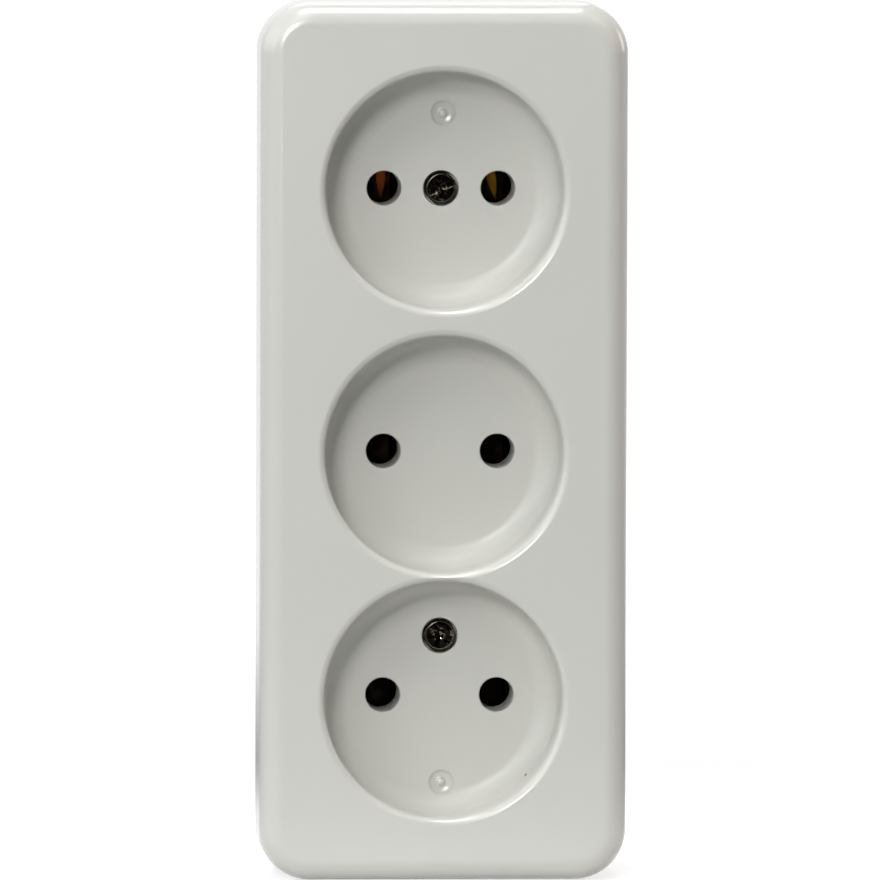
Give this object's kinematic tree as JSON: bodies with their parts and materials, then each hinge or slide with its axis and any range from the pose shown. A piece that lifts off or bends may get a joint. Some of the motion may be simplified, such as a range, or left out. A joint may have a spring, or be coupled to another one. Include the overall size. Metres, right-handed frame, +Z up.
{
  "type": "triple surface-mounted socket",
  "caption": "Surface-mounted mains socket: a glossy moulded cap with round dished recesses in a row, screwed to a deep dark wall box that carries brass contacts, bars and terminals.",
  "frame": {"origin": "on the wall, at the middle of the back of the base", "axes": "+Z up the wall and along the socket, +Y into the wall, so the front with its recesses faces -Y, +X to the right of someone who faces it"},
  "size_m": [0.0612, 0.038, 0.146],
  "materials": {
    "cover_plastic": "glossy off-white moulding",
    "base_plastic": "dull black-brown phenolic moulding",
    "bar_brass": "rolled strip",
    "contact_brass": "rolled spring strip",
    "rivet_brass": "plain",
    "insert_brass": "turned",
    "terminal_steel": "zinc-plated",
    "screw_nickel": "dark nickel plate"
  },
  "bodies": {
    "root": {"cover": "cover_plastic", "base": "base_plastic", "live_bar": "bar_brass", "neutral_bar": "bar_brass", "contact_top_left": "contact_brass", "contact_top_right": "contact_brass", "contact_middle_left": "contact_brass", "contact_middle_right": "contact_brass", "contact_bottom_left": "contact_brass", "contact_bottom_right": "contact_brass", "rivet_top_left": "rivet_brass", "rivet_top_right": "rivet_brass", "rivet_middle_left": "rivet_brass", "rivet_middle_right": "rivet_brass", "rivet_bottom_left": "rivet_brass", "rivet_bottom_right": "rivet_brass", "terminal_screw_upper_left": "terminal_steel", "clamp_plate_upper_left": "terminal_steel", "terminal_nut_upper_left": "terminal_steel", "terminal_screw_upper_right": "terminal_steel", "clamp_plate_upper_right": "terminal_steel", "terminal_nut_upper_right": "terminal_steel", "terminal_screw_lower_left": "terminal_steel", "clamp_plate_lower_left": "terminal_steel", "terminal_nut_lower_left": "terminal_steel", "terminal_screw_lower_right": "terminal_steel", "clamp_plate_lower_right": "terminal_steel", "terminal_nut_lower_right": "terminal_steel", "cover_screw_top": "screw_nickel", "insert_top": "insert_brass", "cover_screw_bottom": "screw_nickel", "insert_bottom": "insert_brass"}
  },
  "joints": []
}
